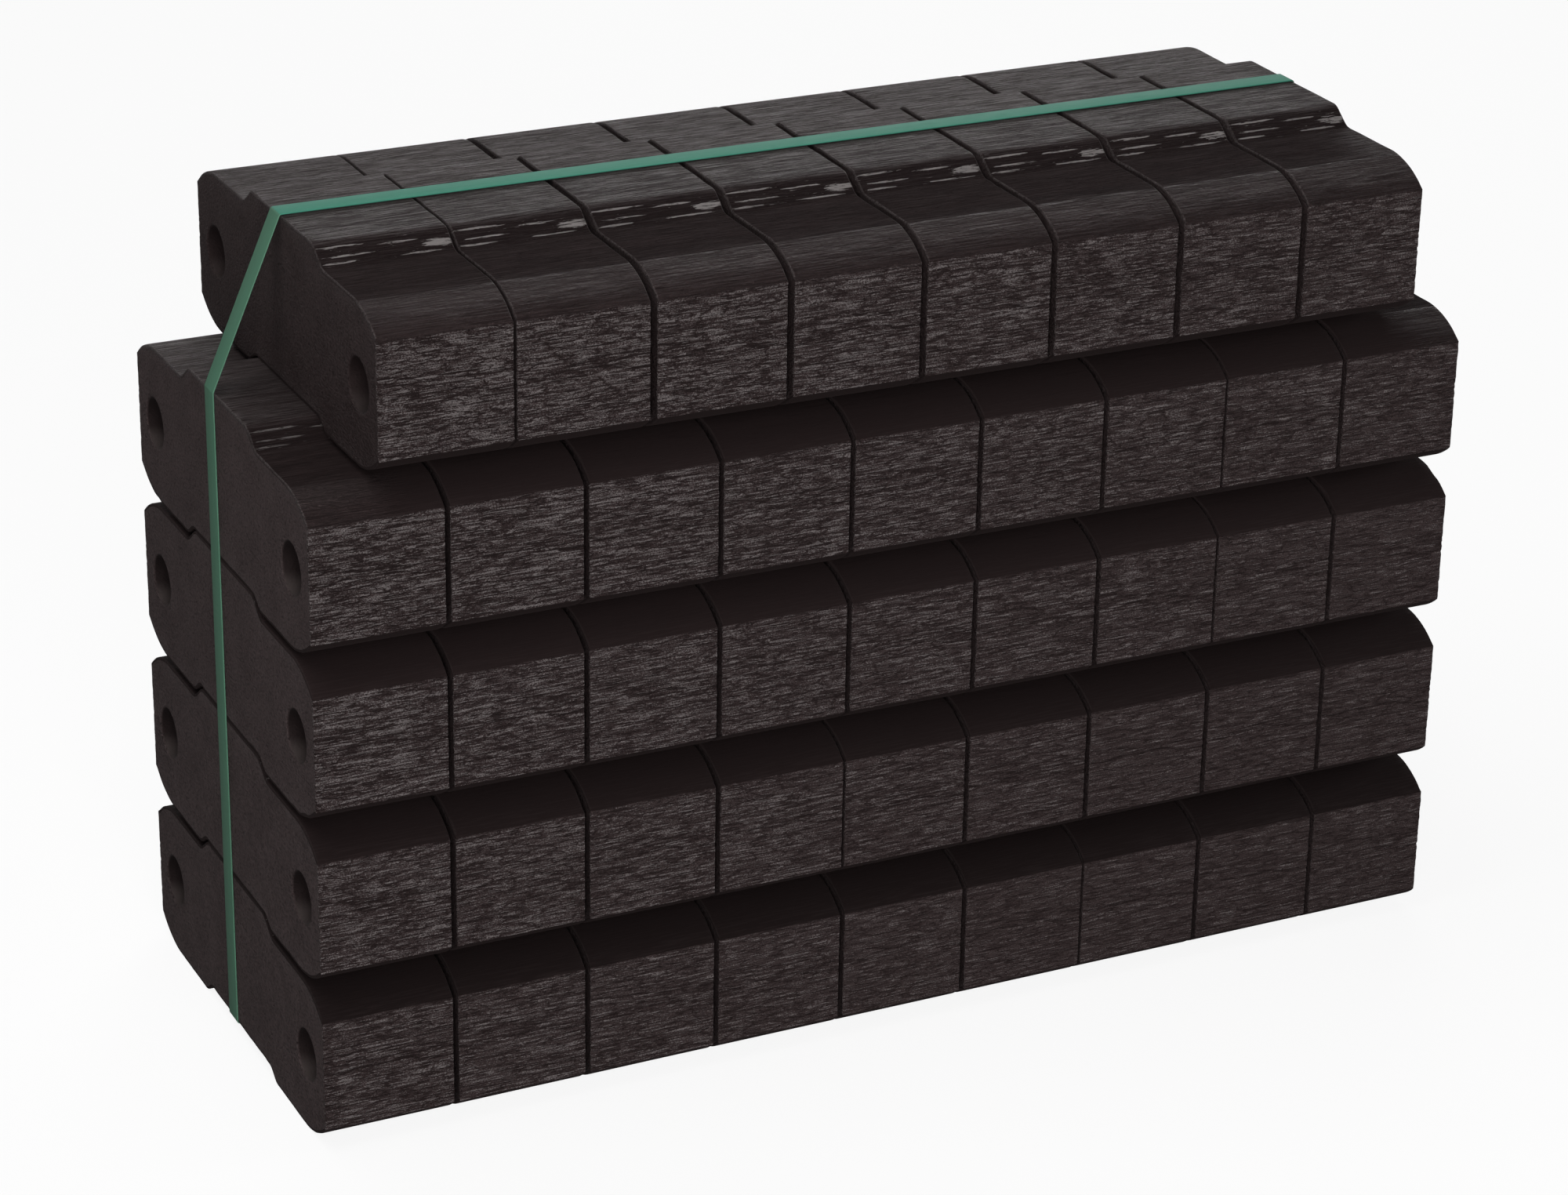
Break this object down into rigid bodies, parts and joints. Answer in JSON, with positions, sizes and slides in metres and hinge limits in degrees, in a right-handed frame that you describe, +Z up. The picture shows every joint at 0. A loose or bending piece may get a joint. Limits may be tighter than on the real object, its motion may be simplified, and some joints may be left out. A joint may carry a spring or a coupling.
{
  "type": "strapped briquette bundle",
  "caption": "Bundle of pressed brown-coal fuel briquettes laid in rows, ribs nested in grooves, the shorter row on top, held by one plastic strap.",
  "frame": {"origin": "on the floor, under the middle of the bundle's overall box", "axes": "+X along the rows, from the dimpled faces to the bosses; +Y from the front end faces to the back ones; +Z up"},
  "size_m": [0.4598, 0.182, 0.3155],
  "materials": {
    "pressed_coal": "pressed brown coal: rough and streaked on the end faces, rubbed smooth on top, fine and dull on the pressed faces",
    "plastic_strap": "satin green strapping"
  },
  "bodies": {
    "root": {"row1_briquette1": "pressed_coal", "row1_briquette2": "pressed_coal", "row1_briquette3": "pressed_coal", "row1_briquette4": "pressed_coal", "row1_briquette5": "pressed_coal", "row1_briquette6": "pressed_coal", "row1_briquette7": "pressed_coal", "row1_briquette8": "pressed_coal", "row1_briquette9": "pressed_coal", "row2_briquette1": "pressed_coal", "row2_briquette2": "pressed_coal", "row2_briquette3": "pressed_coal", "row2_briquette4": "pressed_coal", "row2_briquette5": "pressed_coal", "row2_briquette6": "pressed_coal", "row2_briquette7": "pressed_coal", "row2_briquette8": "pressed_coal", "row2_briquette9": "pressed_coal", "row3_briquette1": "pressed_coal", "row3_briquette2": "pressed_coal", "row3_briquette3": "pressed_coal", "row3_briquette4": "pressed_coal", "row3_briquette5": "pressed_coal", "row3_briquette6": "pressed_coal", "row3_briquette7": "pressed_coal", "row3_briquette8": "pressed_coal", "row3_briquette9": "pressed_coal", "row4_briquette1": "pressed_coal", "row4_briquette2": "pressed_coal", "row4_briquette3": "pressed_coal", "row4_briquette4": "pressed_coal", "row4_briquette5": "pressed_coal", "row4_briquette6": "pressed_coal", "row4_briquette7": "pressed_coal", "row4_briquette8": "pressed_coal", "row4_briquette9": "pressed_coal", "row5_briquette1": "pressed_coal", "row5_briquette2": "pressed_coal", "row5_briquette3": "pressed_coal", "row5_briquette4": "pressed_coal", "row5_briquette5": "pressed_coal", "row5_briquette6": "pressed_coal", "row5_briquette7": "pressed_coal", "row5_briquette8": "pressed_coal", "strap": "plastic_strap"}
  },
  "joints": []
}
